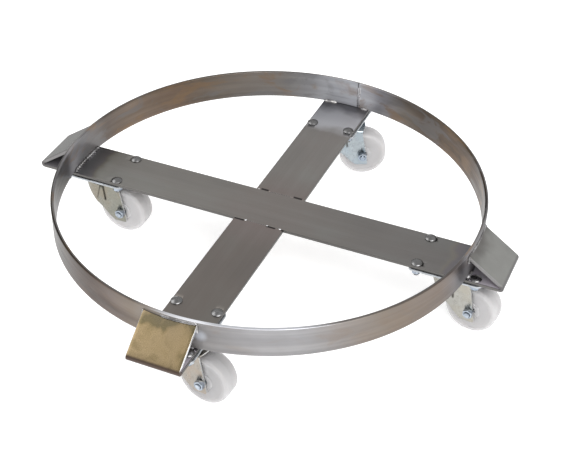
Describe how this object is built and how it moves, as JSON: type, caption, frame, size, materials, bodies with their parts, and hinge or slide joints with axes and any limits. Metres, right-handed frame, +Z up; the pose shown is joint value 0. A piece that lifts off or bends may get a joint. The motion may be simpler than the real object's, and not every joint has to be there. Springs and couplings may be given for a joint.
{
  "type": "drum dolly",
  "caption": "Round drum dolly: a steel hoop on a crossed flat-bar frame with folded bumper ends, carried on swivel casters with plain nylon wheels.",
  "frame": {"origin": "on the floor under the hoop's axis", "axes": "+Z up along the hoop's axis; the one-piece crossbar runs along X and the two half crossbars along Y"},
  "size_m": [0.72, 0.72, 0.1499],
  "materials": {
    "hoop_steel": "satin stainless flat bar, ground and heat tinted at the welds",
    "bar_steel": "satin stainless flat bar, brushed along its length",
    "plate_zinc": "bright zinc plated pressed plate",
    "fork_zinc": "zinc plated pressed fork with a faint yellow passivation",
    "race_zinc": "zinc plated ball races",
    "ball_steel": "polished bearing balls",
    "bright_zinc": "bright zinc plated fasteners",
    "wheel_nylon": "natural nylon, slightly translucent, satin"
  },
  "bodies": {
    "frame": {"hoop": "hoop_steel", "through_crossbar": "bar_steel", "front_crossbar": "bar_steel", "rear_crossbar": "bar_steel", "right_top_plate": "plate_zinc", "right_upper_race": "race_zinc", "right_ball_ring": "ball_steel", "right_lower_race": "race_zinc", "right_kingpin": "bright_zinc", "rear_top_plate": "plate_zinc", "rear_upper_race": "race_zinc", "rear_ball_ring": "ball_steel", "rear_lower_race": "race_zinc", "rear_kingpin": "bright_zinc", "left_top_plate": "plate_zinc", "left_upper_race": "race_zinc", "left_ball_ring": "ball_steel", "left_lower_race": "race_zinc", "left_kingpin": "bright_zinc", "front_top_plate": "plate_zinc", "front_upper_race": "race_zinc", "front_ball_ring": "ball_steel", "front_lower_race": "race_zinc", "front_kingpin": "bright_zinc", "right_bolt_1": "bright_zinc", "right_bolt_2": "bright_zinc", "right_bolt_3": "bright_zinc", "right_bolt_4": "bright_zinc", "rear_bolt_1": "bright_zinc", "rear_bolt_2": "bright_zinc", "rear_bolt_3": "bright_zinc", "rear_bolt_4": "bright_zinc", "left_bolt_1": "bright_zinc", "left_bolt_2": "bright_zinc", "left_bolt_3": "bright_zinc", "left_bolt_4": "bright_zinc", "front_bolt_1": "bright_zinc", "front_bolt_2": "bright_zinc", "front_bolt_3": "bright_zinc", "front_bolt_4": "bright_zinc"},
    "right_swivel": {"right_yoke": "fork_zinc", "right_axle_sleeve": "race_zinc", "right_axle_bolt": "bright_zinc", "right_axle_nut": "bright_zinc"},
    "right_wheel_body": {"right_wheel": "wheel_nylon"},
    "rear_swivel": {"rear_yoke": "fork_zinc", "rear_axle_sleeve": "race_zinc", "rear_axle_bolt": "bright_zinc", "rear_axle_nut": "bright_zinc"},
    "rear_wheel_body": {"rear_wheel": "wheel_nylon"},
    "left_swivel": {"left_yoke": "fork_zinc", "left_axle_sleeve": "race_zinc", "left_axle_bolt": "bright_zinc", "left_axle_nut": "bright_zinc"},
    "left_wheel_body": {"left_wheel": "wheel_nylon"},
    "front_swivel": {"front_yoke": "fork_zinc", "front_axle_sleeve": "race_zinc", "front_axle_bolt": "bright_zinc", "front_axle_nut": "bright_zinc"},
    "front_wheel_body": {"front_wheel": "wheel_nylon"}
  },
  "joints": [
    {"name": "right_swivel_turn", "type": "hinge", "parent": "frame", "child": "right_swivel", "pos_m": [0.277, 0, 0.09], "axis": [0, 0, 1], "continuous": true},
    {"name": "right_wheel_roll", "type": "hinge", "parent": "right_swivel", "child": "right_wheel_body", "pos_m": [0.31485, -0.00331, 0.0375], "axis": [0.0872, 0.9962, 0], "continuous": true},
    {"name": "rear_swivel_turn", "type": "hinge", "parent": "frame", "child": "rear_swivel", "pos_m": [0, 0.277, 0.09], "axis": [0, 0, 1], "continuous": true},
    {"name": "rear_wheel_roll", "type": "hinge", "parent": "rear_swivel", "child": "rear_wheel_body", "pos_m": [0.03523, 0.29124, 0.0375], "axis": [-0.3746, 0.9272, 0], "continuous": true},
    {"name": "left_swivel_turn", "type": "hinge", "parent": "frame", "child": "left_swivel", "pos_m": [-0.277, 0, 0.09], "axis": [0, 0, 1], "continuous": true},
    {"name": "left_wheel_roll", "type": "hinge", "parent": "left_swivel", "child": "left_wheel_body", "pos_m": [-0.239, 0, 0.0375], "axis": [0, 1, 0], "continuous": true},
    {"name": "front_swivel_turn", "type": "hinge", "parent": "frame", "child": "front_swivel", "pos_m": [0, -0.277, 0.09], "axis": [0, 0, 1], "continuous": true},
    {"name": "front_wheel_roll", "type": "hinge", "parent": "front_swivel", "child": "front_wheel_body", "pos_m": [0.03779, -0.28097, 0.0375], "axis": [0.1045, 0.9945, 0], "continuous": true}
  ]
}
